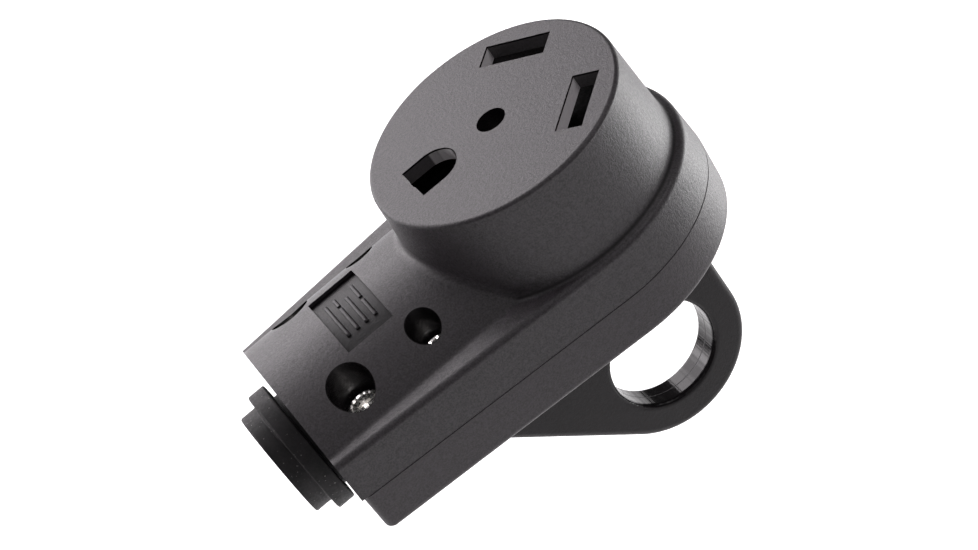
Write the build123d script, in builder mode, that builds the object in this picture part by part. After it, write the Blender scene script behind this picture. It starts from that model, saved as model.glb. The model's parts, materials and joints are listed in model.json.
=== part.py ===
from build123d import *
import math
import os

# Right-angle 30 A RV receptacle connector with a finger-loop handle, all millimetres.
# Frame: origin at the centre of the receptacle face, +Z out of that face, -X towards the cord end.
# The front housing carries the contacts; the rear housing, with the handle, closes it from below.

# Front housing: tower, shoulder slab and arched crown
face_r = 27.0                # receptacle face radius
face_edge = 0.8              # rounding of the face's rim
face_wall = 3.2              # thickness of the slotted face
foot_r = 28.3                # tower radius where it meets the shoulder
shoulder_z = -20.5           # level of the shoulder ledge
seam_z = -30.2               # parting plane of the two housings
shoulder_inset = 0.8         # the front wall leans in by this from seam to shoulder
shoulder_round = 1.4
end_r = 31.0                 # round end of the plan outline, at the seam
tail_x = -64.8               # flat cord end
tail_half = 25.9             # half width there
tail_lean = 0.5              # the cord end leans in by this from the seam to the crown
rear_corner = 1.8            # plan rounding of the rear housing at the cord end
crown_z = -11.2              # top of the crown arch
crown_r = 31.5
tower_blend = 2.0            # fillet between tower and crown
crown_foot_blend = 1.5       # fillet at the foot of the crown
root_z = -23.0               # tower and crown run down into the slab to here
wall = 2.6
seam_chamfer = 0.15

# Receptacle slots
blade_x = 13.5
blade_y = 13.6
blade_length = 14.7
blade_width = 5.9
ground_flat_x = -19.3
ground_r = 5.2
ground_arc_x = -14.3
centre_hole_r = 3.12
boss_r = 6.0
carrier_z = -9.5             # underside of the boss and top of the contact carrier
tower_bore_r = 23.8          # bore above the carrier
carrier_bore_r = 25.0        # bore around the carrier

# Blank label pocket in the crown
pocket_x = -43.5
pocket_length = 10.9
pocket_half = 10.4
pocket_depth = 1.0

# Housing screws, mirrored about the XZ plane
screw_y = 15.6
screw_tip_z = -38.8
seat_z = -22.9               # floor of the screw recesses
case = {"x": -35.1, "recess_r": 3.4, "post_r": 5.1, "clear_r": 2.2, "shank_r": 1.9, "head_r": 2.75,
        "head_h": 1.7, "insert_r": 3.1}
tail = {"x": -52.8, "recess_r": 4.55, "post_r": 6.2, "clear_r": 2.7, "shank_r": 2.4, "head_r": 3.75,
        "head_h": 2.0, "insert_r": 3.9}
washer_h = 0.6
washer_gap = 0.25            # washer to recess wall
washer_bore_gap = 0.3        # washer bore to shank
tooth_count = 14
tooth_notch = 0.9
tooth_notch_width = 0.55
insert_top_z = -30.9
insert_length = 7.9
running_gap = 0.05           # shank in a threaded bore
foot_gap = 0.4               # post tops of the rear housing below the seam
post_wall = 1.9              # plastic around a threaded insert
insert_clearance = 0.03
pilot_depth = 1.5            # free length below an insert

# Machine screws, as fractions of the head radius, head height or shank radius
drive_length = 1.15          # length of the cross recess over the head radius
drive_width = 0.22
drive_depth = 0.6            # over the head height
head_round = 0.4
tip_chamfer = 0.3            # over the shank radius

# Rear housing and handle
rim_z = -40.6                # lower edge of the side walls
rim_inset = 0.55
rim_round = 1.4
rear_tail_step = 0.5         # the front housing overhangs the rear one at the cord end
back_z = -46.5               # raised back pad
back_inset = 7.0
back_round = 5.0
loop_x = 0.3
loop_z = -68.1
loop_hole_r = 11.75
loop_r = 18.9
loop_half = 3.94             # half thickness
loop_round = 1.6
loop_hole_round = 1.2
loop_slope = 45.0            # rake of the handle's cord-side edge, degrees
loop_overlap = 1.4           # the handle's root inside the back pad

# Cord bushing
cord_z = seam_z              # the cord's axis lies in the parting plane
cord_r = 8.7
neck_r = 10.8
neck_gap = 0.2
flange_r = 13.9
flange_gap = 0.65            # between the cord end and the outer flange
flange_length = 3.9
ring_r = 11.6
bushing_end_x = -73.1
end_wall = 3.0
inner_flange_r = 13.2
inner_flange_length = 2.0

# Contact carrier, contacts and terminals
carrier_r = 24.8
carrier_bottom_z = -22.0
centre_head_z = -7.2         # seat of the centre screw
centre_head_r = 2.8
centre_head_h = 1.8
centre_shank_r = 1.6
centre_clear_r = 1.8
centre_tip_z = -18.5
strip = 0.8                  # brass strip thickness
jaw_length = 10.6
jaw_top_z = -10.4
jaw_half_gap = 1.5           # strip centre line from the jaw's mid plane
jaw_pinch = 1.05
pinch_drop = 2.0             # from the jaw's mouth down to its pinch
straight_drop = 5.0          # and to its straight run
jaw_lead = 0.4               # flare of the mouth
jaw_bottom_z = -20.4
pocket_gap = 0.5
sleeve_r = 3.7               # ground sleeve, outside
tab_thickness = 1.3
terminal_x = 2.2
terminal_y = 13.6
ground_terminal_x = -5.4
tab_width = 9.6
plate_side = 8.6
plate_thickness = 1.2
plate_gap = 0.3              # between terminal tab and clamp plate
terminal_shank_r = 1.9
terminal_head_r = 3.3
terminal_head_h = 2.2
terminal_tip_z = -17.4
shank_hole_gap = 0.4

# Cord clamp
clamp_x = -43.4
clamp_width = 5.4
clamp_y = 13.6
clamp_half = 17.2
clamp_r = 7.5
clamp_strip = 2.0
clamp_ear_z = -33.0          # upper face of the clamp's ears
clamp_post_r = 2.7
clamp_shank_r = 1.45
clamp_head_r = 2.6
clamp_head_h = 1.9
clamp_tip_z = -24.5
clamp_drill_z = -23.6

saddle_half = 11.0           # half width of the cord saddle rib
bushing_round = 0.4

crown_axis_z = crown_z - crown_r
ledge_depth = crown_z - shoulder_z
rake_sin = math.sin(math.radians(loop_slope))
rake_cos = math.cos(math.radians(loop_slope))
loop_root_z = back_z + loop_overlap
loop_left_x = loop_x - loop_r * rake_sin - (loop_root_z - loop_z + loop_r * rake_cos) * rake_cos / rake_sin
neck_x = tail_x + end_wall + neck_gap
bushing_inner_x = neck_x + inner_flange_length
flange_x = tail_x - flange_gap
ring_x = flange_x - flange_length
plate_z = carrier_bottom_z - tab_thickness - plate_gap
jaw_flare = jaw_half_gap + jaw_lead
ground_tab_x = ground_arc_x - sleeve_r - strip
terminals = {"line": (terminal_x, terminal_y), "neutral": (terminal_x, -terminal_y),
             "ground": (ground_terminal_x, 0)}
SIDES = {"left": 1, "right": -1}


def body_outline(inset, tail_inset=0.0, corner=0.0):
    """Plan outline of the housings: round end, two tapering sides and a flat cord end."""
    radius = end_r - inset
    half = tail_half - inset
    reach = math.hypot(tail_x, half)
    angle = math.atan2(half, tail_x) - math.acos(radius / reach)
    touch_x = radius * math.cos(angle)
    touch_y = radius * math.sin(angle)
    cut_x = tail_x + tail_inset
    cut_y = half + (touch_y - half) * tail_inset / (touch_x - tail_x)
    with BuildSketch() as outline:
        with BuildLine():
            Line((cut_x, -cut_y), (touch_x, -touch_y))
            ThreePointArc((touch_x, -touch_y), (radius, 0), (touch_x, touch_y))
            Line((touch_x, touch_y), (cut_x, cut_y))
            Line((cut_x, cut_y), (cut_x, -cut_y))
        make_face()
        if corner:
            fillet(outline.vertices().group_by(Axis.X)[0], corner)
    return outline.sketch


def crown_section(radius, floor_z):
    """Half-moon section of the crown in the YZ plane, down to floor_z."""
    drop = floor_z - crown_axis_z
    half = math.sqrt(radius**2 - drop**2)
    with BuildSketch() as section:
        with BuildLine():
            ThreePointArc((-half, floor_z), (0, crown_axis_z + radius), (half, floor_z))
            Line((half, floor_z), (-half, floor_z))
        make_face()
    return section.sketch


def screw_positions(kind):
    return [(kind["x"], screw_y), (kind["x"], -screw_y)]


def save(solid, label):
    solid.label = label
    export_step(solid, f"parts/{label}.step")


def machine_screw(x, y, seat, tip, shank_r, head_r, head_h):
    """Pan-head screw with a cross recess; the head is above its seat if the tip is below, and so on."""
    up = 1 if seat > tip else -1
    drive = head_r * drive_length
    with BuildPart() as screw:
        with BuildSketch(Plane((x, y, seat), x_dir=(1, 0, 0), z_dir=(0, 0, up))):
            Circle(head_r)
        extrude(amount=head_h)
        crest = screw.edges().group_by(Axis.Z)[-1 if up > 0 else 0]
        fillet(crest, head_h * head_round)
        with BuildSketch(Plane((x, y, seat + up * head_h), x_dir=(1, 0, 0), z_dir=(0, 0, up))):
            Rectangle(drive, head_r * drive_width)
            Rectangle(head_r * drive_width, drive)
        extrude(amount=-head_h * drive_depth, mode=Mode.SUBTRACT)
        with BuildSketch(Plane((x, y, seat), x_dir=(1, 0, 0), z_dir=(0, 0, -up))):
            Circle(shank_r)
        extrude(amount=abs(seat - tip))
        end = screw.edges().group_by(Axis.Z)[0 if up > 0 else -1]
        chamfer(end, shank_r * tip_chamfer)
    return screw.part


def tooth_washer(x, y, kind):
    """External-tooth lock washer under a housing screw's head."""
    outer = kind["recess_r"] - washer_gap
    with BuildPart() as washer:
        with BuildSketch(Plane.XY.offset(seat_z)):
            with Locations((x, y)):
                Circle(outer)
                Circle(kind["shank_r"] + washer_bore_gap, mode=Mode.SUBTRACT)
                with PolarLocations(outer, tooth_count):
                    Rectangle(tooth_notch, tooth_notch_width, mode=Mode.SUBTRACT)
        extrude(amount=washer_h)
    return washer.part


def threaded_inserts(kind):
    """Pair of plain-bored brass inserts for one kind of housing screw."""
    with BuildPart() as inserts:
        with BuildSketch(Plane.XY.offset(insert_top_z)):
            with Locations(*screw_positions(kind)):
                Circle(kind["insert_r"])
                Circle(kind["shank_r"] + running_gap, mode=Mode.SUBTRACT)
        extrude(amount=-insert_length)
    return inserts.part


def clamp_plate(x, y):
    """Square wire clamp plate, held up against its terminal tab by the screw."""
    with BuildPart() as plate:
        with BuildSketch(Plane.XY.offset(plate_z)):
            with Locations((x, y)):
                RectangleRounded(plate_side, plate_side, plate_thickness)
                Circle(terminal_shank_r + shank_hole_gap, mode=Mode.SUBTRACT)
        extrude(amount=-plate_thickness)
    return plate.part


def blade_contact(side):
    """Sprung two-leaf jaw for one 45-degree blade, with its terminal tab under the carrier."""
    jaw_plane = Plane((blade_x, side * blade_y, 0), x_dir=(side, 1, 0), z_dir=(1, -side, 0))
    leaf = [(jaw_flare, jaw_top_z), (jaw_pinch, jaw_top_z - pinch_drop),
            (jaw_half_gap, jaw_top_z - straight_drop), (jaw_half_gap, jaw_bottom_z)]
    tab_end_x = blade_x + jaw_half_gap
    tab_start_x = terminal_x - tab_width / 2
    with BuildPart() as contact:
        with BuildSketch(jaw_plane):
            with BuildLine():
                Polyline(*leaf, *[(-w, z) for w, z in reversed(leaf)])
            trace(line_width=strip)
        extrude(amount=jaw_length / 2, both=True)
        with BuildSketch(Plane.XY.offset(carrier_bottom_z)):
            with Locations(Location((blade_x, side * blade_y), -45 * side)):
                Rectangle(jaw_length / 2, 2 * jaw_half_gap)
        extrude(amount=jaw_bottom_z - carrier_bottom_z)
        with BuildSketch(Plane.XY.offset(carrier_bottom_z)):
            with Locations(((tab_start_x + tab_end_x) / 2, side * terminal_y)):
                Rectangle(tab_end_x - tab_start_x, tab_width)
        extrude(amount=-tab_thickness)
        with Locations((terminal_x, side * terminal_y, carrier_bottom_z)):
            Hole(terminal_shank_r + running_gap, tab_thickness)
    return contact.part


def cord_opening():
    """Cutter for the round cord opening through both housings' end walls."""
    with BuildPart() as opening:
        with BuildSketch(Plane.YZ.offset(tail_x - 1)):
            with Locations((0, cord_z)):
                Circle(neck_r + neck_gap)
        extrude(amount=end_wall + 2)
    return opening.part


def crown_foot_edges(housing, slab):
    """Straight edges where the crown stands on the shoulder ledge of the slab."""
    level = (shoulder_z - 0.01, shoulder_z + 0.01)
    rim = slab.edges().filter_by_position(Axis.Z, *level)
    ledge = housing.edges().filter_by_position(Axis.Z, *level)
    ledge = ledge.filter_by(GeomType.LINE).filter_by(lambda e: e.center().X > tail_x + 1)
    return ledge.filter_by(lambda e: min((e.center() - r.center()).length for r in rim) > 0.1)


# Front housing ------------------------------------------------------------------------------
with BuildPart() as front_cavity:
    with BuildSketch(Plane.XY.offset(-face_wall)):
        Circle(tower_bore_r)
    extrude(amount=carrier_z + face_wall)
    with BuildSketch(Plane.XY.offset(carrier_z)):
        Circle(carrier_bore_r)
    extrude(amount=seam_z - carrier_z)
    with BuildSketch(Plane.XY.offset(shoulder_z - wall)):
        add(body_outline(wall + shoulder_inset, end_wall))
    with BuildSketch(Plane.XY.offset(seam_z)):
        add(body_outline(wall, end_wall))
    loft()
    with BuildSketch(Plane.YZ.offset(tail_x + end_wall)):
        add(crown_section(crown_r - wall, shoulder_z - wall))
    extrude(amount=-tail_x - end_wall)
    with BuildSketch(Plane.XY.offset(seam_z)):
        with Locations((clamp_x, 0)):
            Rectangle(clamp_width, 2 * saddle_half)
    extrude(amount=crown_z - seam_z, mode=Mode.SUBTRACT)
    with BuildSketch(Plane.YZ.offset(clamp_x - clamp_width)):
        with Locations((0, cord_z)):
            Circle(cord_r)
    extrude(amount=2 * clamp_width)
    with BuildSketch(Plane.XY.offset(cord_z - cord_r)):
        Rectangle(-2 * tail_x, 2 * end_r)
    extrude(amount=seam_z - cord_z + cord_r, mode=Mode.SUBTRACT)
    with BuildSketch(Plane.XY.offset(seam_z)):
        for kind in (case, tail):
            with Locations(*screw_positions(kind)):
                Circle(kind["post_r"])
        with Locations((clamp_x, clamp_y), (clamp_x, -clamp_y)):
            Circle(clamp_post_r)
    extrude(amount=crown_z - seam_z, mode=Mode.SUBTRACT)
    with BuildSketch(Plane.XY.offset(-face_wall)):
        Circle(boss_r)
    extrude(amount=carrier_z + face_wall, mode=Mode.SUBTRACT)

with BuildPart() as shoulder_slab:
    with BuildSketch(Plane.XY.offset(seam_z + seam_chamfer)):
        add(body_outline(0))
    with BuildSketch(Plane.XY.offset(shoulder_z)):
        add(body_outline(shoulder_inset))
    loft()
    fillet(shoulder_slab.edges().group_by(Axis.Z)[-1].sort_by(Axis.X)[1:], shoulder_round)
    with BuildSketch(Plane.XY.offset(seam_z + seam_chamfer)):
        add(body_outline(0))
    with BuildSketch(Plane.XY.offset(seam_z)):
        add(body_outline(seam_chamfer))
    loft()

with BuildPart() as front_housing:
    with BuildSketch(Plane.XY.offset(root_z)):
        Circle(foot_r + (foot_r - face_r) * (shoulder_z - root_z) / -shoulder_z)
    with BuildSketch(Plane.XY):
        Circle(face_r)
    loft()
    fillet(front_housing.edges().group_by(Axis.Z)[-1], face_edge)
    with BuildSketch(Plane.YZ.offset(tail_x)):
        add(crown_section(crown_r, root_z))
    extrude(amount=-tail_x - boss_r)
    crown_face = front_housing.faces().filter_by(GeomType.CYLINDER).sort_by(Axis.Z)[-1]
    fillet(crown_face.edges().sort_by(Axis.X)[-1], tower_blend)
    add(shoulder_slab.part)
    fillet(crown_foot_edges(front_housing, shoulder_slab), crown_foot_blend)
    with BuildSketch(Plane.XZ):
        with BuildLine():
            Polyline((tail_x, seam_z), (tail_x - tail_lean, seam_z), (tail_x - tail_lean, crown_z + 1),
                     (tail_x + tail_lean, crown_z + 1), close=True)
        make_face()
    extrude(amount=end_r, both=True, mode=Mode.SUBTRACT)
    add(front_cavity.part, mode=Mode.SUBTRACT)
    with BuildSketch(Plane.XY):
        for side in SIDES.values():
            with Locations(Location((blade_x, side * blade_y), -45 * side)):
                Rectangle(blade_length, blade_width)
        with Locations((ground_arc_x, 0)):
            Circle(ground_r)
        with Locations(((ground_flat_x + ground_arc_x) / 2, 0)):
            Rectangle(ground_arc_x - ground_flat_x, 2 * ground_r)
    extrude(amount=-face_wall, mode=Mode.SUBTRACT)
    with Locations((0, 0, 0)):
        CounterBoreHole(centre_clear_r, centre_hole_r, -centre_head_z, -carrier_z)
    for kind in (case, tail):
        with Locations(*[(x, y, crown_z) for x, y in screw_positions(kind)]):
            CounterBoreHole(kind["clear_r"], kind["recess_r"], crown_z - seat_z, crown_z - seam_z)
    with BuildSketch(Plane.XY.offset(clamp_ear_z)):
        with Locations((clamp_x, clamp_y), (clamp_x, -clamp_y)):
            Circle(clamp_post_r)
    extrude(amount=seam_z - clamp_ear_z + 1)
    with Locations((clamp_x, clamp_y, clamp_ear_z), (clamp_x, -clamp_y, clamp_ear_z)):
        Cylinder(clamp_shank_r + running_gap, clamp_drill_z - clamp_ear_z,
                 align=(Align.CENTER, Align.CENTER, Align.MIN), mode=Mode.SUBTRACT)
    with BuildSketch(Plane.YZ.offset(pocket_x - pocket_length / 2)):
        with Locations((0, crown_z)):
            Rectangle(2 * pocket_half, 2 * ledge_depth)
        with Locations((0, crown_axis_z)):
            Circle(crown_r - pocket_depth, mode=Mode.SUBTRACT)
    extrude(amount=pocket_length, mode=Mode.SUBTRACT)
    add(cord_opening(), mode=Mode.SUBTRACT)

# Rear housing with its handle ----------------------------------------------------------------
with BuildPart() as handle_loop:
    with BuildSketch(Plane.XZ):
        with BuildLine():
            Line((loop_left_x, loop_root_z), (loop_x - loop_r * rake_sin, loop_z - loop_r * rake_cos))
            ThreePointArc((loop_x - loop_r * rake_sin, loop_z - loop_r * rake_cos),
                          (loop_x + loop_r * rake_sin, loop_z - loop_r * rake_cos),
                          (loop_x + loop_r, loop_z))
            Line((loop_x + loop_r, loop_z), (loop_x + loop_r, loop_root_z))
            Line((loop_x + loop_r, loop_root_z), (loop_left_x, loop_root_z))
        make_face()
    extrude(amount=loop_half, both=True)
    fillet(handle_loop.faces().filter_by(Axis.Y).edges(), loop_round)
    with BuildSketch(Plane.XZ):
        with Locations((loop_x, loop_z)):
            Circle(loop_hole_r)
    extrude(amount=loop_half, both=True, mode=Mode.SUBTRACT)
    fillet(handle_loop.faces().filter_by(Axis.Y).edges().filter_by(GeomType.CIRCLE)
           .sort_by(SortBy.RADIUS)[:2], loop_hole_round)

with BuildPart() as rear_cavity:
    with BuildSketch(Plane.XY.offset(seam_z)):
        add(body_outline(wall, end_wall))
    with BuildSketch(Plane.XY.offset(rim_z + wall)):
        add(body_outline(wall + rim_inset, end_wall))
    loft()
    with BuildSketch(Plane.XY.offset(rim_z + wall)):
        add(body_outline(back_inset + wall, end_wall))
    extrude(amount=back_z - rim_z)
    with BuildSketch(Plane.YZ.offset(tail_x + end_wall)):
        with Locations((0, cord_z)):
            Circle(inner_flange_r + pocket_gap / 2)
    extrude(amount=end_wall)
    with BuildSketch(Plane.XY.offset(seam_z - foot_gap)):
        for kind in (case, tail):
            with Locations(*screw_positions(kind)):
                Circle(kind["insert_r"] + post_wall)
    extrude(amount=back_z - seam_z, mode=Mode.SUBTRACT)

with BuildPart() as rear_housing:
    with BuildSketch(Plane.XY.offset(seam_z - seam_chamfer)):
        add(body_outline(0, rear_tail_step, rear_corner))
    with BuildSketch(Plane.XY.offset(rim_z)):
        add(body_outline(rim_inset, rear_tail_step, rear_corner))
    loft()
    fillet(rear_housing.edges().group_by(Axis.Z)[0], rim_round)
    with BuildSketch(Plane.XY.offset(seam_z)):
        add(body_outline(seam_chamfer, rear_tail_step, rear_corner))
    with BuildSketch(Plane.XY.offset(seam_z - seam_chamfer)):
        add(body_outline(0, rear_tail_step, rear_corner))
    loft()
    with BuildSketch(Plane.XY.offset(rim_z + wall)):
        add(body_outline(back_inset, rear_tail_step))
    extrude(amount=back_z - rim_z - wall)
    fillet(rear_housing.edges().group_by(Axis.Z)[0], back_round)
    add(handle_loop.part)
    add(rear_cavity.part, mode=Mode.SUBTRACT)
    for kind in (case, tail):
        with Locations(*[(x, y, seam_z - foot_gap) for x, y in screw_positions(kind)]):
            CounterBoreHole(kind["shank_r"] + running_gap, kind["insert_r"] + insert_clearance,
                            seam_z - foot_gap - insert_top_z + insert_length,
                            seam_z - foot_gap - insert_top_z + insert_length + pilot_depth)
    add(cord_opening(), mode=Mode.SUBTRACT)

# Cord bushing --------------------------------------------------------------------------------
with BuildPart() as cord_bushing:
    with BuildSketch(Plane((0, 0, cord_z), x_dir=(1, 0, 0), z_dir=(0, -1, 0))):
        with BuildLine():
            Polyline((bushing_inner_x, cord_r), (bushing_inner_x, inner_flange_r),
                     (neck_x, inner_flange_r), (neck_x, neck_r), (flange_x, neck_r),
                     (flange_x, flange_r), (ring_x, flange_r), (ring_x, ring_r),
                     (bushing_end_x, ring_r), (bushing_end_x, cord_r), close=True)
        make_face()
    revolve(axis=Axis((0, 0, cord_z), (1, 0, 0)))
    outer_rims = cord_bushing.edges().filter_by(GeomType.CIRCLE).filter_by_position(
        Axis.X, bushing_end_x - 0.1, flange_x + 0.1)
    fillet(outer_rims.filter_by(lambda e: e.radius > neck_r and not (
        e.radius == ring_r and e.center().X > bushing_end_x + 0.1)), bushing_round)

# Contact carrier -----------------------------------------------------------------------------
with BuildPart() as contact_carrier:
    with BuildSketch(Plane.XY.offset(carrier_bottom_z)):
        Circle(carrier_r)
        for side in SIDES.values():
            with Locations(Location((blade_x, side * blade_y), -45 * side)):
                Rectangle(jaw_length + 2 * pocket_gap, 2 * jaw_flare + strip + 2 * pocket_gap,
                          mode=Mode.SUBTRACT)
        with Locations((ground_arc_x, 0)):
            Circle(sleeve_r + pocket_gap, mode=Mode.SUBTRACT)
    extrude(amount=carrier_z - carrier_bottom_z)
    chamfer(contact_carrier.edges().filter_by(GeomType.CIRCLE).sort_by(SortBy.RADIUS)[-2:], strip / 2)
    with Locations((0, 0, carrier_z)):
        Hole(centre_shank_r + running_gap, carrier_z - centre_tip_z + shank_hole_gap)
    with Locations(*[(x, y, carrier_bottom_z) for x, y in terminals.values()]):
        Cylinder(terminal_shank_r + shank_hole_gap, terminal_tip_z + shank_hole_gap - carrier_bottom_z,
                 align=(Align.CENTER, Align.CENTER, Align.MIN), mode=Mode.SUBTRACT)

# Brass contacts ------------------------------------------------------------------------------
with BuildPart() as ground_contact:
    with BuildSketch(Plane.XY.offset(carrier_bottom_z)):
        with Locations((ground_arc_x, 0)):
            Circle(sleeve_r)
            Circle(sleeve_r - strip, mode=Mode.SUBTRACT)
        with Locations((ground_arc_x - sleeve_r, 0)):
            Rectangle(3 * strip, strip, mode=Mode.SUBTRACT)
    extrude(amount=jaw_top_z - carrier_bottom_z)
    with BuildSketch(Plane.XY.offset(carrier_bottom_z)):
        with Locations(((ground_tab_x + ground_terminal_x + tab_width / 2) / 2, 0)):
            Rectangle(ground_terminal_x + tab_width / 2 - ground_tab_x, tab_width)
    extrude(amount=-tab_thickness)
    with Locations((ground_terminal_x, 0, carrier_bottom_z)):
        Hole(terminal_shank_r + running_gap, tab_thickness)

# Cord clamp ----------------------------------------------------------------------------------
with BuildPart() as cord_clamp:
    with BuildSketch(Plane.YZ.offset(clamp_x - clamp_width / 2)):
        with Locations((0, cord_z)):
            Circle(clamp_r + clamp_strip)
        with Locations((0, clamp_ear_z - clamp_strip / 2)):
            Rectangle(2 * clamp_half, clamp_strip)
        with Locations((0, cord_z)):
            Circle(clamp_r, mode=Mode.SUBTRACT)
        with Locations((0, clamp_ear_z + clamp_r)):
            Rectangle(2 * clamp_half, 2 * clamp_r, mode=Mode.SUBTRACT)
    extrude(amount=clamp_width)
    with Locations((clamp_x, clamp_y, clamp_ear_z), (clamp_x, -clamp_y, clamp_ear_z)):
        Hole(clamp_shank_r + shank_hole_gap, clamp_strip)

# Repeated pieces and export ------------------------------------------------------------------
os.makedirs("parts", exist_ok=True)
save(front_housing.part, "front_housing")
save(rear_housing.part, "rear_housing")
save(cord_bushing.part, "cord_bushing")
save(contact_carrier.part, "contact_carrier")
save(machine_screw(0, 0, centre_head_z, centre_tip_z, centre_shank_r, centre_head_r, centre_head_h),
     "centre_screw")
save(blade_contact(1), "line_contact")
save(blade_contact(-1), "neutral_contact")
save(ground_contact.part, "ground_contact")
for name, (x, y) in terminals.items():
    save(clamp_plate(x, y), f"{name}_clamp_plate")
    save(machine_screw(x, y, plate_z - plate_thickness, terminal_tip_z, terminal_shank_r,
                       terminal_head_r, terminal_head_h), f"{name}_terminal_screw")
save(cord_clamp.part, "cord_clamp")
for label, kind in (("case", case), ("tail", tail)):
    save(threaded_inserts(kind), f"{label}_inserts")
for hand, side in SIDES.items():
    for label, kind in (("case", case), ("tail", tail)):
        save(machine_screw(kind["x"], side * screw_y, seat_z + washer_h, screw_tip_z, kind["shank_r"],
                           kind["head_r"], kind["head_h"]), f"{label}_screw_{hand}")
        save(tooth_washer(kind["x"], side * screw_y, kind), f"{label}_washer_{hand}")
    save(machine_screw(clamp_x, side * clamp_y, clamp_ear_z - clamp_strip, clamp_tip_z, clamp_shank_r,
                       clamp_head_r, clamp_head_h), f"clamp_screw_{hand}")
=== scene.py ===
import json
import math
import bpy
import bmesh
from mathutils import Matrix, Vector

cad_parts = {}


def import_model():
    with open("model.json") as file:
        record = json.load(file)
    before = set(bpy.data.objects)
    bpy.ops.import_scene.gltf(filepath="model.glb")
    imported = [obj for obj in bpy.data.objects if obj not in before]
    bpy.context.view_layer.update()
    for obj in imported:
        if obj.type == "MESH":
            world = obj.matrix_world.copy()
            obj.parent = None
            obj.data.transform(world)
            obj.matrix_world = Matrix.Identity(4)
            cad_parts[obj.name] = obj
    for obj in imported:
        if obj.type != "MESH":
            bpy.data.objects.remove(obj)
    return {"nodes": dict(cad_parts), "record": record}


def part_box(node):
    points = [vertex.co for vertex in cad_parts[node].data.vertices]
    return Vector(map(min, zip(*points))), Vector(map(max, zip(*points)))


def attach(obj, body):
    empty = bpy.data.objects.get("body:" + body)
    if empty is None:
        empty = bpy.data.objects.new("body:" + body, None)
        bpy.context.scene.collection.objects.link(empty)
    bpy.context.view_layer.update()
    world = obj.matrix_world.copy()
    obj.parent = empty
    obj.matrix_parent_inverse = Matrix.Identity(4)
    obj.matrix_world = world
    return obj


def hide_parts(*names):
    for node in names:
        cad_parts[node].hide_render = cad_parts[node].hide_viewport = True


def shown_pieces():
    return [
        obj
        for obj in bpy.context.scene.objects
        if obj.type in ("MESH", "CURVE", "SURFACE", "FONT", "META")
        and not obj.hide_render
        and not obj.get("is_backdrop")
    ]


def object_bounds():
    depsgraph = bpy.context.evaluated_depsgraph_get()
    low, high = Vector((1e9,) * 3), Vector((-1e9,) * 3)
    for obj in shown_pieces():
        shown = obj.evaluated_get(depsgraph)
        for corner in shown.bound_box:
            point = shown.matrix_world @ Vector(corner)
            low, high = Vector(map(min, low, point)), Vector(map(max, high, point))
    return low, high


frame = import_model()
cad_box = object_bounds()

MM = 0.001

# Camera: angles in degrees, lens in millimetres, the rest in metres
CAMERA_AZIMUTH = -4.98
CAMERA_ELEVATION = 35.80
CAMERA_ROLL = 37.05
CAMERA_DISTANCE = 0.518
CAMERA_AIM = Vector((-0.0191, -0.0120, -0.0189))
CAMERA_LENS = 100.6
CAMERA_SENSOR = 36
CAMERA_CLIP = 0.01

# Places on the housings, in the part's own frame
SCREW_Y = 15.6 * MM
CASE = {"x": -35.1 * MM, "recess": 3.45 * MM}
TAIL = {"x": -52.8 * MM, "recess": 4.6 * MM}
FACE_R = 24.6 * MM
CENTRE_HOLE_R = 3.3 * MM
SLOT_DEPTH = 9.4 * MM
BLADE_SLOTS_X = 4.0 * MM
FOOT_R = 28.3 * MM
SHOULDER_Z = -20.5 * MM
CROWN_AXIS_Z = -42.7 * MM
POCKET = (-48.9 * MM, -38.1 * MM)
POCKET_R = 30.6 * MM
LOOP = (0.3 * MM, -68.1 * MM)
LINER_R = 12.2 * MM

# Surface finish
GRAIN_TONE = 0.75
GRAIN_STRENGTH = 0.8
POLISHED_STRENGTH = 0.15
POCKET_SPECULAR = 0.22
STREAK = 2.4 * MM
SHARP_ANGLE = math.radians(32)

# Shapes of the screws: lengths, then shares of the size they belong to
HEAD_SIDES = 60
HEAD_BEVEL = 0.12 * MM
DISH_DEPTH = 0.25 * MM
RIM_WIDTH = 0.15 * MM
NOTCH_DEPTH = 0.35 * MM
THREAD_RUN_OUT = 0.35 * MM
THREAD_STEPS = 8
THREAD_DEPTH = 0.42
HEAD_ROUNDING = 0.42
FLUTE_DEPTH = 0.045
DRIVE_REACH = 0.58
KNURLED_DRIVE_REACH = 0.40
SLOT_DRIVE_STRETCH = 1.4
DRIVE_HALF_WIDTH = 0.13
DRIVE_DEPTH = 0.62
DRIVE_TAPER = (0.62, 0.72)
TIP = 0.55

# Shapes of the washers and the label bars
TOOTH_COUNT = 14
TOOTH_REACH = 0.85 * MM
TOOTH_TWIST = 0.16 * MM
BAR_WIDTH = 0.9 * MM
BAR_RISE = 0.3 * MM
BAR_DRAFT = 0.12 * MM
BAR_STEPS = 14
# Share of the pocket's length, then the bar's start and end across it in millimetres
BAR_ROWS = ((0.16, -6.6, 5.6), (0.36, -6.6, 1.2), (0.36, 2.2, 5.6),
            (0.56, -6.6, 3.2), (0.76, -6.6, -1.0), (0.76, 0.0, 5.6))

# Recurring colours, linear
CHARCOAL = (0.0115, 0.0098, 0.0110, 1)
CHARCOAL_WORN = (0.046, 0.040, 0.0445, 1)
VIOLET_GRAIN = (0.044, 0.0365, 0.046, 1)
# Light grey painted on the contact slots' walls that face the light: painted light
SLOT_WALL_PAINTED_LIGHT = (0.80, 0.78, 0.79, 1)
# Near-black painted shade for recesses, tower foot, slot rims and handle; also on label pocket and
# liner
POLISHED_AND_PAINTED_SHADE = (0.0075, 0.0065, 0.0072, 1)
HANDLE = (0.0210, 0.0178, 0.0198, 1)
RUBBER = (0.0075, 0.0073, 0.0075, 1)
CARRIER = (0.006, 0.006, 0.0065, 1)
BRASS = (0.78, 0.56, 0.25, 1)
BRASS_TARNISH = (0.45, 0.28, 0.11, 1)
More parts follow.
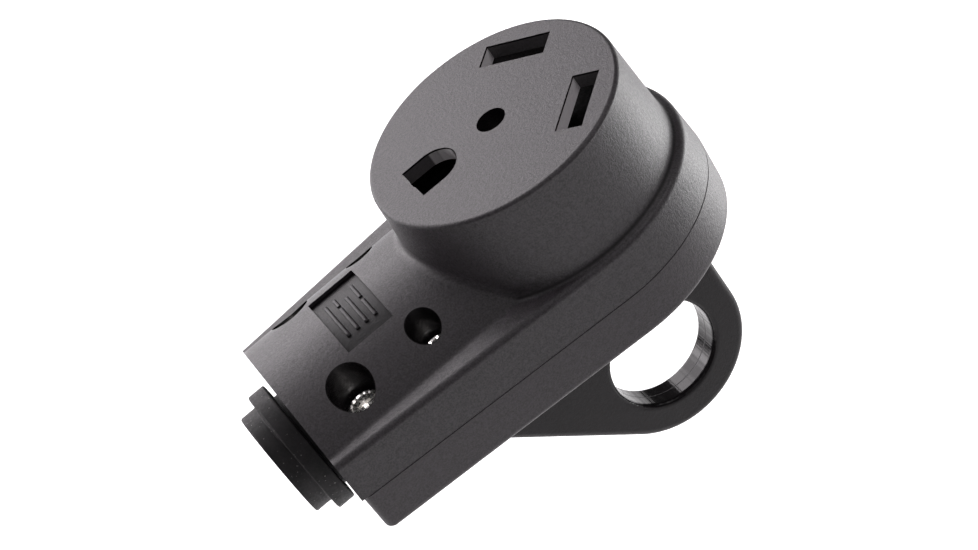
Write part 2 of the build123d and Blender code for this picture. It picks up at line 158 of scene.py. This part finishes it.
# Contact brass darkened so the contacts look black inside the slots: painted shade, with tarnish
# stains
CONTACT_BRASS_PAINTED_SHADE = (0.42, 0.29, 0.13, 1)
CONTACT_TARNISH_AND_SHADE = (0.16, 0.10, 0.05, 1)
NICKEL = (0.90, 0.89, 0.86, 1)
NICKEL_DULL = (0.66, 0.64, 0.60, 1)
ZINC = (0.58, 0.60, 0.62, 1)
ZINC_DULL = (0.4, 0.4, 0.38, 1)
GREEN = (0.025, 0.22, 0.06, 1)
GREEN_DARK = (0.012, 0.10, 0.03, 1)
DUST = (0.16, 0.155, 0.15, 1)
WHITE = (1, 1, 1, 1)
FLOOR_TONES = ((0.86, 0.86, 0.86, 1), (0.90, 0.90, 0.90, 1))
LIGHT_COLOUR = (1.0, 0.955, 0.985)

# Floor, in metres, and its glow: strengths, shares of them, places and fades
FLOOR_SIZE = 12
FLOOR_GLOW = 0.74
BACK_GLOW = 7.2
GLOW_X = 0.154
GLOW_Y = -0.011
GLOW_INNER = 0.042
GLOW_OUTER = 0.102
FRONT_FADE = (0.040, 0.060)
FAR_FADE = (0.100, 0.190)
FRONT_SHARE = 0.66
SIDE_FADE = (0.110, 0.170)
SIDE_SHARE = 0.40
WORLD_STRENGTH = 0.06

# Lights: name, azimuth, elevation, distance, size, power; degrees, metres and watts
LIGHTS = (
    ("back_softbox", 196, 32, 1.0, 1.1, 12.2),
    ("back_strip", 174, 34, 1.0, 0.35, 0.7),
    ("left_strip", 226, 24, 1.0, 0.5, 2.8),
    ("top_panel", 0, 88, 1.5, 2.0, 4.6),
    ("side_panel", 75, 50, 1.2, 0.8, 2.8),
    ("front_fill", -8, 44, 1.2, 0.8, 0.9),
)
HARDWARE_LIGHT = ("hardware_panel", 0, 60, 1.2, 0.4, 10.0)


# Material helpers -----------------------------------------------------------------------------
class Nodes:
    """A material's node tree, built in a few words per node."""

    def __init__(self, name):
        self.material = bpy.data.materials.new(name)
        self.material.use_nodes = True
        self.tree = self.material.node_tree
        self.shader = self.tree.nodes["Principled BSDF"]
        coordinates = self.add("ShaderNodeTexCoord")
        self.place = coordinates.outputs["Object"]
        self.facing = coordinates.outputs["Normal"]

    def add(self, kind, inputs=None, **settings):
        made = self.tree.nodes.new(kind)
        for key, value in settings.items():
            setattr(made, key, value)
        for key, value in (inputs or {}).items():
            self.put(made.inputs[key], value)
        return made

    def put(self, socket, value):
        if isinstance(value, bpy.types.NodeSocket):
            self.tree.links.new(value, socket)
        else:
            socket.default_value = value

    def noise(self, feature, detail=2.0, roughness=0.5, stretch=(1, 1, 1)):
        """Noise from 0 to 1 with features of that size in metres."""
        place = self.add("ShaderNodeMapping", {"Vector": self.place, "Scale": stretch})
        made = self.add("ShaderNodeTexNoise", {"Vector": place.outputs["Vector"],
                                               "Scale": 1 / feature, "Detail": detail,
                                               "Roughness": roughness})
        return made.outputs["Fac"]

    def ramp(self, value, low, high, to_low=0.0, to_high=1.0, smooth=True):
        """The value rescaled from low and high to to_low and to_high, and held past them."""
        made = self.add("ShaderNodeMapRange", {"Value": value, "From Min": low, "From Max": high,
                                               "To Min": to_low, "To Max": to_high},
                        interpolation_type="SMOOTHSTEP" if smooth else "LINEAR")
        return made.outputs["Result"]

    def math(self, operation, first, second=0.0):
        made = self.add("ShaderNodeMath", {0: first, 1: second}, operation=operation)
        return made.outputs["Value"]

    def blend(self, factor, first, second):
        """The first colour at factor 0 and the second at 1."""
        made = self.add("ShaderNodeMix", data_type="RGBA")
        for place, value in ((0, factor), (6, first), (7, second)):
            self.put(made.inputs[place], value)
        return made.outputs[2]

    def within(self, value, low, high, soft):
        """1 where the value is between low and high, falling to 0 over soft on each side."""
        return self.math("MULTIPLY", self.ramp(value, low - soft, low),
                         self.ramp(value, high, high + soft, 1.0, 0.0))

    def axis_distance(self, point, along):
        """Distance from the line through point that runs along that axis: 0 is x and 2 is z."""
        keep = [0.0 if index == along else 1.0 for index in range(3)]
        flat = self.add("ShaderNodeVectorMath", {0: self.place, 1: keep}, operation="MULTIPLY")
        foot = [value * kept for value, kept in zip(point, keep)]
        return self.distance(flat.outputs["Vector"], foot)

    def distance(self, first, second):
        made = self.add("ShaderNodeVectorMath", {0: first, 1: second}, operation="DISTANCE")
        return made.outputs["Value"]

    def turned(self, direction):
        """1 where the surface faces that direction, -1 where it faces away."""
        made = self.add("ShaderNodeVectorMath", {0: self.facing, 1: direction},
                        operation="DOT_PRODUCT")
        return made.outputs["Value"]

    def place_axes(self):
        split = self.add("ShaderNodeSeparateXYZ", {"Vector": self.place})
        return split.outputs["X"], split.outputs["Y"], split.outputs["Z"]

    def bump(self, height, depth, strength=1.0, below=None):
        inputs = {"Height": height, "Distance": depth, "Strength": strength}
        if below is not None:
            inputs["Normal"] = below
        return self.add("ShaderNodeBump", inputs).outputs["Normal"]

    def edges(self, radius):
        """1 on sharp edges, 0 on flats, from the difference of the rounded normal."""
        rounded = self.add("ShaderNodeBevel", {"Radius": radius}, samples=4).outputs["Normal"]
        flat = self.add("ShaderNodeNewGeometry").outputs["Normal"]
        dot = self.add("ShaderNodeVectorMath", {0: rounded, 1: flat}, operation="DOT_PRODUCT")
        return self.ramp(dot.outputs["Value"], 0.98, 0.80)

    def set(self, **values):
        for key, value in values.items():
            self.put(self.shader.inputs[key.replace("_", " ")], value)
        return self.material


def moulded_plastic(name, colour, worn, roughness, grain=0.35 * MM, depth=0.08 * MM,
                    specular=0.5, polish_and_painted_light=None, polished_roughness=0.26, streaks=0.0):
    """Spark-textured moulding. polished(n) gives three masks: smooth places, slot walls painted
    light grey as painted light, and less shiny dark places; smooth and dark places are painted
    near-black, mostly as painted shade. streaks is the depth of fine lines across the smooth ones."""
    n = Nodes(name)
    fine = n.noise(grain, 3.0, 0.6)
    coarse = n.noise(2.6 * grain, 2.0, 0.5)
    mottle = n.noise(9 * MM, 3.0, 0.55)
    wear = n.math("MULTIPLY", n.edges(0.35 * MM),
                  n.ramp(n.noise(3 * MM), 0.35, 0.7, 0.2, 0.8))
    tone = n.blend(n.ramp(mottle, 0.3, 0.7, 0.0, 0.12), colour, worn)
    tone = n.blend(n.ramp(fine, 0.3, 0.75, 0.0, GRAIN_TONE), tone, worn)
    tone = n.blend(n.ramp(coarse, 0.45, 0.7, 0.0, 0.35), tone, VIOLET_GRAIN)
    tone = n.blend(n.math("MULTIPLY", wear, 0.35), tone, worn)
    rough = n.ramp(fine, 0.3, 0.7, roughness + 0.06, roughness - 0.05)
    if polish_and_painted_light is None:
        rough = n.math("ADD", rough, n.ramp(mottle, 0.3, 0.7, -0.02, 0.03))
        strength = GRAIN_STRENGTH
    else:
        smooth, painted_lit_walls, dark = polish_and_painted_light(n)
        # Slot walls that face the light get light grey: painted light
        tone = n.blend(painted_lit_walls, tone, SLOT_WALL_PAINTED_LIGHT)
        # Smooth places and the dark masks are painted near-black: painted shade
        tone = n.blend(n.math("MAXIMUM", smooth, dark), tone, POLISHED_AND_PAINTED_SHADE)
        specular = n.ramp(n.math("MAXIMUM", dark, n.math("MULTIPLY", smooth, 0.6)), 0.0, 1.0,
                          specular, POCKET_SPECULAR, smooth=False)
        rough = n.add("ShaderNodeMix", {0: smooth, 2: rough, 3: polished_roughness},
                      data_type="FLOAT").outputs[0]
        strength = n.ramp(smooth, 0.0, 1.0, GRAIN_STRENGTH, POLISHED_STRENGTH, smooth=False)
    relief = n.bump(coarse, 0.8 * depth, strength, n.bump(fine, depth, strength))
    if streaks:
        relief = n.bump(n.noise(STREAK, 3.0, 0.55, (1, 0, 1)), streaks, smooth, relief)
    return n.set(Base_Color=tone, Roughness=rough, Normal=relief, Specular_IOR_Level=specular)


def front_polish_and_painted_light(n):
    """Masks of the front housing: smooth screw recesses and centre hole, painted near-black as
    painted shade; the contact slots' walls that face the light, painted light grey as painted
    light; and a dark label pocket, tower foot and slot rims, the last two as painted shade."""
    x, _, z = n.place_axes()
    from_axis = n.axis_distance((0, 0, 0), 2)

    in_face = n.ramp(from_axis, FACE_R, FACE_R + 0.3 * MM, 1.0, 0.0)
    slots = n.math("MULTIPLY", in_face, n.within(z, -SLOT_DEPTH, -0.45 * MM, 0.1 * MM))
    # Thin band at the slot mouths, painted dark: painted shade
    slot_rim_painted_shade = n.math("MULTIPLY", in_face, n.within(z, -0.40 * MM, -0.10 * MM, 0.05 * MM))
    blades = n.ramp(x, BLADE_SLOTS_X, BLADE_SLOTS_X + 0.5 * MM)
    # Blade-slot walls facing +X and -Y get painted light, the other walls a little of it
    blade_wall_painted_light = n.math("MULTIPLY", blades,
                        n.ramp(n.turned((0.7, -0.7, 0.0)), 0.6, 0.8, 0.08, 1.0))
    # The ground slot's arc gets a painted highlight where it faces -X and -Y
    ground_arc_painted_highlight = n.math("MAXIMUM", n.ramp(n.turned((-0.80, -0.60, 0.0)), 0.90, 0.98),
                        n.ramp(n.turned((-0.42, -0.91, 0.0)), 0.975, 0.995, 0.0, 0.7))
    ground_wall_painted_light = n.math("MULTIPLY", n.math("SUBTRACT", 1.0, blades),
                         n.math("MAXIMUM", ground_arc_painted_highlight, 0.08))
    # Painted light on the contact slots' walls
    painted_lit_walls = n.math("MULTIPLY", slots, n.math("ADD", blade_wall_painted_light, ground_wall_painted_light))

    from_crown_axis = n.axis_distance((0, 0, CROWN_AXIS_Z), 0)
    pocket = n.math("MULTIPLY", n.within(x, POCKET[0], POCKET[1], 0.05 * MM),
                    n.ramp(from_crown_axis, POCKET_R, POCKET_R + 0.3 * MM, 1.0, 0.0))
    pocket = n.math("MULTIPLY", pocket,
                    n.ramp(z, CROWN_AXIS_Z + 22 * MM, CROWN_AXIS_Z + 24 * MM))
    # Tower foot, painted dark: painted shade
    crease_painted_shade = n.math("MULTIPLY",
                    n.within(from_axis, FOOT_R - 0.35 * MM, FOOT_R + 0.35 * MM, 0.5 * MM),
                    n.within(z, SHOULDER_Z - 0.1 * MM, SHOULDER_Z + 0.35 * MM, 0.5 * MM))
    # Dark masks: painted shade at the tower foot and slot rims, and a darker label pocket
    dark = n.math("MAXIMUM", pocket, n.math("MAXIMUM", crease_painted_shade, slot_rim_painted_shade))

    # Centre hole and screw recesses: smoother, and painted near-black as painted shade
    smooth = n.math("MULTIPLY",
                    n.ramp(from_axis, CENTRE_HOLE_R, CENTRE_HOLE_R + 0.2 * MM, 1.0, 0.0),
                    n.ramp(z, -0.10 * MM, -0.05 * MM, 1.0, 0.0))
    for kind in (CASE, TAIL):
        for side in (1, -1):
            near = n.axis_distance((kind["x"], side * SCREW_Y, 0), 2)
            recess = n.ramp(near, kind["recess"], kind["recess"] + 0.1 * MM, 1.0, 0.0)
            smooth = n.math("MAXIMUM", smooth, recess)
    return smooth, painted_lit_walls, dark


def rear_polish_and_painted_shade(n):
    """Masks of the rear housing: smooth liner of the handle's hole with its dull parting line, no
    painted light on slot walls, and the dark handle, painted darker as painted shade below the
    body."""
    _, y, z = n.place_axes()
    from_loop_axis = n.axis_distance((LOOP[0], 0, LOOP[1]), 1)
    liner = n.ramp(from_loop_axis, LINER_R, LINER_R + 0.3 * MM, 1.0, 0.0)
    dull = n.math("MULTIPLY", liner, n.within(y, -0.12 * MM, 0.12 * MM, 0.08 * MM))
    # Handle below the body, painted darker: painted shade
    handle = n.ramp(z, CROWN_AXIS_Z - 8 * MM, CROWN_AXIS_Z - 6 * MM, 0.85, 0.0)
    return n.math("SUBTRACT", liner, dull), 0.0, handle


def metal(name, colour, dark, roughness):
    """Metal with soft dark stains and fine uneven polish."""
    n = Nodes(name)
    stain = n.noise(3.6 * MM, 4.0, 0.6)
    fine = n.noise(0.6 * MM, 3.0, 0.6)
    tone = n.blend(n.ramp(stain, 0.35, 0.75, 0.0, 0.6), colour, dark)
    rough = n.ramp(fine, 0.3, 0.7, roughness - 0.06, roughness + 0.1)
    return n.set(Base_Color=tone, Metallic=1.0, Roughness=rough,
                 Normal=n.bump(fine, 0.01 * MM, 0.4))


def rubber(name, colour):
    """Dull rubber with a few specks of dust."""
    n = Nodes(name)
    fine = n.noise(0.5 * MM, 3.0, 0.6)
    dust = n.ramp(n.noise(0.45 * MM, 1.0, 0.5), 0.72, 0.78)
    tone = n.blend(n.ramp(n.noise(5 * MM), 0.3, 0.7, 0.0, 0.25), colour, CHARCOAL_WORN)
    tone = n.blend(dust, tone, DUST)
    rough = n.ramp(fine, 0.3, 0.7, 0.52, 0.7)
    return n.set(Base_Color=tone, Roughness=rough, Normal=n.bump(fine, 0.03 * MM, 0.6),
                 Specular_IOR_Level=0.26)


MATERIALS = {
    "housing_plastic": moulded_plastic("housing_plastic", CHARCOAL, CHARCOAL_WORN, 0.46,
                                       specular=0.46, polish_and_painted_light=front_polish_and_painted_light),
    "handle_plastic": moulded_plastic("handle_plastic", HANDLE, CHARCOAL_WORN, 0.44,
                                      specular=0.34, polish_and_painted_light=rear_polish_and_painted_shade,
                                      polished_roughness=0.19, streaks=0.26 * MM),
    "bushing_rubber": rubber("bushing_rubber", RUBBER),
    "carrier_plastic": moulded_plastic("carrier_plastic", CARRIER, RUBBER, 0.6,
                                       0.5 * MM, 0.01 * MM, specular=0.12),
    "contact_brass": metal("contact_brass", CONTACT_BRASS_PAINTED_SHADE, CONTACT_TARNISH_AND_SHADE, 0.42),
    "insert_brass": metal("insert_brass", BRASS, BRASS_TARNISH, 0.32),
    "plate_steel": metal("plate_steel", ZINC, ZINC_DULL, 0.32),
    "screw_steel": metal("screw_steel", NICKEL, NICKEL_DULL, 0.26),
    "washer_steel": metal("washer_steel", NICKEL, NICKEL_DULL, 0.26),
    "line_screw_brass": metal("line_screw_brass", BRASS, BRASS_TARNISH, 0.25),
    "ground_screw_green": metal("ground_screw_green", GREEN, GREEN_DARK, 0.3),
}


# Detailed pieces ------------------------------------------------------------------------------
def add_piece(name, mesh, body, material, node=None):
    """Links a piece that rides on that body; one with a node stands for that CAD node."""
    made = bpy.data.objects.new(name, mesh)
    bpy.context.scene.collection.objects.link(made)
    mesh.materials.append(MATERIALS[material])
    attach(made, body)
    if node is not None:
        mesh.set_sharp_from_angle(angle=SHARP_ANGLE)
        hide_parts(node)


def solid_mesh(name, build):
    """Smooth-shaded mesh of what build adds to an empty bmesh, with its faces turned outwards."""
    bm = bmesh.new()
    build(bm)
    bmesh.ops.recalc_face_normals(bm, faces=bm.faces)
    mesh = bpy.data.meshes.new(name)
    bm.to_mesh(mesh)
    bm.free()
    for polygon in mesh.polygons:
        polygon.use_smooth = True
    return mesh


def join_rings(bm, first, second):
    """Faces between two closed rings of equally many vertices."""
    count = len(first)
    for index in range(count):
        following = (index + 1) % count
        bm.faces.new((first[index], first[following], second[following], second[index]))


def cross_outline(half_length, half_width):
    """Corners of a cross-shaped drive recess, in order."""
    corners = []
    for quarter in range(4):
        turn = Matrix.Rotation(quarter * math.pi / 2, 2)
        corners += [turn @ Vector(corner) for corner in (
            (half_length, -half_width), (half_length, half_width), (half_width, half_width))]
    return corners


def slot_outline(half_length, half_width):
    """Corners of a straight drive slot, in order."""
    return [Vector(corner) for corner in (
        (half_length, -half_width), (half_length, half_width),
        (-half_length, half_width), (-half_length, -half_width))]


def machine_screw(node, body, material, head_height, shank_radius, pitch,
                  head_up=True, knurled=False, slotted=False):
    """Screw with a real helical thread, a rounded head and a tapered cross or slot, inside its
    CAD box; a knurled head is fluted, and its top is dished inside a notched rim."""
    low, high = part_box(node)
    centre = (low + high) / 2
    head_radius = (high.x - low.x) / 2
    length = high.z - low.z
    rounding = head_height * HEAD_ROUNDING
    dish = DISH_DEPTH if knurled else 0.0
    thread_depth = THREAD_DEPTH * pitch
    thread_start = head_height + 0.5 * MM
    thread_turns = (length - head_height - 0.9 * MM) / pitch

    def point(radius, angle, height):
        """Height is measured from the top of the head, downwards along the shank."""
        z = high.z - height if head_up else low.z + height
        turn = angle if head_up else -angle
        return (centre.x + radius * math.cos(turn), centre.y + radius * math.sin(turn), z)

    def ring(bm, shape):
        return [bm.verts.new(point(*shape(2 * math.pi * index / HEAD_SIDES)))
                for index in range(HEAD_SIDES)]

    def rim(angle):
        """Radius of the head's edge, with fine upright flutes on a knurled head."""
        if not knurled:
            return head_radius
        return head_radius * (1 - FLUTE_DEPTH * abs(math.sin(angle * HEAD_SIDES / 4)))

    def notched(angle):
        """Radius of a dished top, inside its notched rim."""
        return head_radius - rounding - RIM_WIDTH - NOTCH_DEPTH * abs(math.sin(10 * angle))

    def thread(angle, height):
        """Radius of the thread: a ridge that climbs one pitch in each turn."""
        turn = (height / pitch + angle / (2 * math.pi)) % 1
        return shank_radius - thread_depth * abs(turn * 2 - 1)

    def build(bm):
        rings = []
        if knurled:
            rings.append(ring(bm, lambda a: (notched(a), a, dish)))
        for step in range(5):
            swing = step / 4 * math.pi / 2
            rings.append(ring(bm, lambda a, s=swing: (
                rim(a) - rounding * (1 - math.sin(s)), a, rounding * (1 - math.cos(s)))))
        rings.append(ring(bm, lambda a: (rim(a), a, head_height - HEAD_BEVEL)))
        rings.append(ring(bm, lambda a: (rim(a) - HEAD_BEVEL, a, head_height)))
        rings.append(ring(bm, lambda a: (shank_radius, a, head_height)))
        for step in range(int(thread_turns * THREAD_STEPS)):
            height = thread_start + step * pitch / THREAD_STEPS
            rings.append(ring(bm, lambda a, h=height: (thread(a, h), a, h)))
        rings.append(ring(bm, lambda a: (shank_radius - thread_depth, a, length - THREAD_RUN_OUT)))
        rings.append(ring(bm, lambda a: (shank_radius * TIP, a, length)))
        for first, second in zip(rings, rings[1:]):
            join_rings(bm, first, second)
        bm.faces.new(rings[-1])

        half_length = head_radius * (KNURLED_DRIVE_REACH if knurled else DRIVE_REACH)
        half_width = head_radius * DRIVE_HALF_WIDTH
        if slotted:
            shape = slot_outline(half_length * SLOT_DRIVE_STRETCH, half_width)
        else:
            shape = cross_outline(half_length, half_width)
        mouth_z = point(0, 0, dish)[2]
        floor_z = point(0, 0, head_height * DRIVE_DEPTH)[2]
        mouth = [bm.verts.new((centre.x + corner.x, centre.y + corner.y, mouth_z))
                 for corner in shape]
        floor = [bm.verts.new((centre.x + DRIVE_TAPER[0] * corner.x,
                               centre.y + DRIVE_TAPER[1] * corner.y, floor_z))
                 for corner in shape]
        join_rings(bm, mouth, floor)
        bm.faces.new(floor)
        bm.edges.ensure_lookup_table()
        borders = [bm.edges.get((loop[index], loop[(index + 1) % len(loop)]))
                   for loop in (rings[0], mouth) for index in range(len(loop))]
        bmesh.ops.triangle_fill(bm, edges=borders, use_beauty=True)

    add_piece(f"{node}_detailed", solid_mesh(node, build), body, material, node)


def tooth_washer(node, body, material, bore_radius):
    """External-tooth lock washer with twisted teeth, inside its CAD box."""
    low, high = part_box(node)
    centre = (low + high) / 2
    outer = (high.x - low.x) / 2
    root = outer - TOOTH_REACH
    flat = (high.z - low.z) / 2 - TOOTH_TWIST
    pitch = 2 * math.pi / TOOTH_COUNT
    # Share of the pitch, whether the tooth reaches out there, and its lean
    outline = ((0.00, False, 0), (0.15, False, 0), (0.17, True, 1), (0.33, True, 0.5),
               (0.50, True, 0), (0.67, True, -0.5), (0.83, True, -1), (0.85, False, 0))

    def column(bm, angle, edge, lift):
        profile = ((bore_radius, -flat), (bore_radius, flat), (root, flat), (edge, flat + lift),
                   (edge, -flat + lift), (root, -flat))
        return [bm.verts.new((centre.x + radius * math.cos(angle),
                              centre.y + radius * math.sin(angle), centre.z + height))
                for radius, height in profile]

    def build(bm):
        columns = []
        for tooth in range(TOOTH_COUNT):
            start = 2 * math.pi * tooth / TOOTH_COUNT
            for share, reaches, lean in outline:
                edge = outer if reaches else root + 0.03 * MM
                columns.append(column(bm, start + share * pitch, edge, lean * TOOTH_TWIST))
        for first, second in zip(columns, columns[1:] + columns[:1]):
            join_rings(bm, first, second)

    add_piece(f"{node}_detailed", solid_mesh(node, build), body, material, node)


# Sizes of each kind: head height, shank radius and pitch of a screw, or bore radius of a washer
for hand in ("left", "right"):
    machine_screw(f"case_screw_{hand}", f"case_screw_{hand}", "screw_steel",
                  1.7 * MM, 1.9 * MM, 0.8 * MM, knurled=True)
    machine_screw(f"tail_screw_{hand}", f"tail_screw_{hand}", "screw_steel",
                  2.0 * MM, 2.4 * MM, 0.9 * MM, knurled=True)
    tooth_washer(f"case_washer_{hand}", f"case_washer_{hand}", "washer_steel", 2.2 * MM)
    tooth_washer(f"tail_washer_{hand}", f"tail_washer_{hand}", "washer_steel", 2.7 * MM)
    machine_screw(f"clamp_screw_{hand}", f"clamp_screw_{hand}", "screw_steel",
                  1.9 * MM, 1.45 * MM, 0.7 * MM, head_up=False)
for name, slot in (("line", "line_screw_brass"), ("neutral", "screw_steel"),
                   ("ground", "ground_screw_green")):
    machine_screw(f"{name}_terminal_screw", f"{name}_terminal_screw", slot,
                  2.2 * MM, 1.9 * MM, 0.8 * MM, head_up=False, slotted=name == "ground")
machine_screw("centre_screw", "connector", "screw_steel", 1.8 * MM, 1.6 * MM, 0.7 * MM)


def label_bars():
    """Plain raised bars on the curved floor of the label pocket; they carry no words or mark."""
    radius = POCKET_R - 0.15 * MM

    def build(bm):
        for share, start, end in BAR_ROWS:
            x = POCKET[0] + share * (POCKET[1] - POCKET[0])
            profile = ((x, radius), (x + BAR_DRAFT, radius + BAR_RISE),
                       (x + BAR_WIDTH - BAR_DRAFT, radius + BAR_RISE), (x + BAR_WIDTH, radius))
            columns = []
            for step in range(BAR_STEPS + 1):
                y = (start + (end - start) * step / BAR_STEPS) * MM
                angle = math.asin(y / radius)
                columns.append([bm.verts.new((along, out * math.sin(angle),
                                              CROWN_AXIS_Z + out * math.cos(angle)))
                                for along, out in profile])
            for first, second in zip(columns, columns[1:]):
                join_rings(bm, first, second)
            bm.faces.new(columns[0])
            bm.faces.new(columns[-1])

    add_piece("label_bars", solid_mesh("label_bars", build), "connector", "housing_plastic")


label_bars()

# CAD nodes keep their shape and get their materials ------------------------------------------
for subpart in frame["record"]["subparts"]:
    mesh = frame["nodes"][subpart["node"]].data
    mesh.materials.clear()
    mesh.materials.append(MATERIALS[subpart["material_slot"]])


# Stage ----------------------------------------------------------------------------------------
def outwards(azimuth, elevation):
    """Unit vector in that direction, in degrees; azimuth 0 is towards -Y and 90 towards +X."""
    turn, tilt = math.radians(azimuth), math.radians(elevation)
    return Vector((math.sin(turn) * math.cos(tilt), -math.cos(turn) * math.cos(tilt),
                   math.sin(tilt)))


def camera():
    back = outwards(CAMERA_AZIMUTH, CAMERA_ELEVATION)
    made = bpy.data.objects.new("camera", bpy.data.cameras.new("camera"))
    made.data.lens = CAMERA_LENS
    made.data.sensor_width = CAMERA_SENSOR
    made.data.clip_start = CAMERA_CLIP
    roll = Matrix.Rotation(-math.radians(CAMERA_ROLL), 3, "Z")
    turn = (-back).to_track_quat("-Z", "Y").to_matrix() @ roll
    made.matrix_world = Matrix.Translation(CAMERA_AIM + back * CAMERA_DISTANCE) @ turn.to_4x4()
    bpy.context.scene.collection.objects.link(made)
    bpy.context.scene.camera = made


def area_light(name, azimuth, elevation, distance, size, power, only=None):
    """Soft disc light that faces the object's middle; only limits it to one collection."""
    low, high = cad_box
    away = outwards(azimuth, elevation)
    light = bpy.data.lights.new(name, "AREA")
    light.shape = "DISK"
    light.size = size
    light.energy = power
    light.color = LIGHT_COLOUR
    made = bpy.data.objects.new(name, light)
    made.location = (low + high) / 2 + away * distance
    made.rotation_mode = "QUATERNION"
    made.rotation_quaternion = (-away).to_track_quat("-Z", "Y")
    made.visible_camera = False
    if only is not None:
        made.light_linking.receiver_collection = only
    bpy.context.scene.collection.objects.link(made)


def floor():
    """Pale floor, low enough for the rear housing to come off above it. It glows most in a round
    patch beyond the object's +X end, and less in a band before the object and on the -X side."""
    low, high = cad_box
    n = Nodes("pale_floor")
    tone = n.blend(n.ramp(n.noise(0.08, 2.0), 0.3, 0.7), *FLOOR_TONES)
    away = n.distance(n.place, (high.x + GLOW_X, high.y + GLOW_Y, 0))
    glow = n.ramp(away, GLOW_INNER, GLOW_OUTER, FLOOR_GLOW + BACK_GLOW, FLOOR_GLOW)
    x, y, _ = n.place_axes()
    near = n.ramp(y, -FRONT_FADE[1], -FRONT_FADE[0], FRONT_SHARE, 1.0)
    far = n.ramp(y, -FAR_FADE[1], -FAR_FADE[0], 1.0 - FRONT_SHARE, 0.0)
    glow = n.math("MULTIPLY", glow, n.math("ADD", near, far))
    glow = n.math("MULTIPLY", glow, n.ramp(x, -SIDE_FADE[1], -SIDE_FADE[0], SIDE_SHARE, 1.0))
    n.set(Base_Color=tone, Roughness=0.9, Emission_Color=WHITE, Emission_Strength=glow)
    travel = max(joint["range_m"][1] for joint in frame["record"]["behaviour"]["joints"]
                 if joint["child"] == "rear_shell")
    bpy.ops.mesh.primitive_plane_add(size=FLOOR_SIZE, location=(0, 0, low.z - travel - MM))
    made = bpy.context.object
    made.name = "floor"
    made.data.materials.append(n.material)
    made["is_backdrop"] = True


def world():
    made = bpy.data.worlds.new("studio")
    made.use_nodes = True
    background = made.node_tree.nodes["Background"]
    background.inputs["Color"].default_value = WHITE
    background.inputs["Strength"].default_value = WORLD_STRENGTH
    bpy.context.scene.world = made


def hardware():
    """Collection of the housing screws and washers, lit by a light of their own because they
    sit deep in dark recesses."""
    made = bpy.data.collections.new("hardware")
    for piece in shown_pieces():
        if piece.name.startswith(("case_screw", "case_washer", "tail_screw", "tail_washer")):
            made.objects.link(piece)
    return made


camera()
world()
floor()
for light in LIGHTS:
    area_light(*light)
area_light(*HARDWARE_LIGHT, only=hardware())
bpy.context.scene.view_settings.view_transform = "Standard"
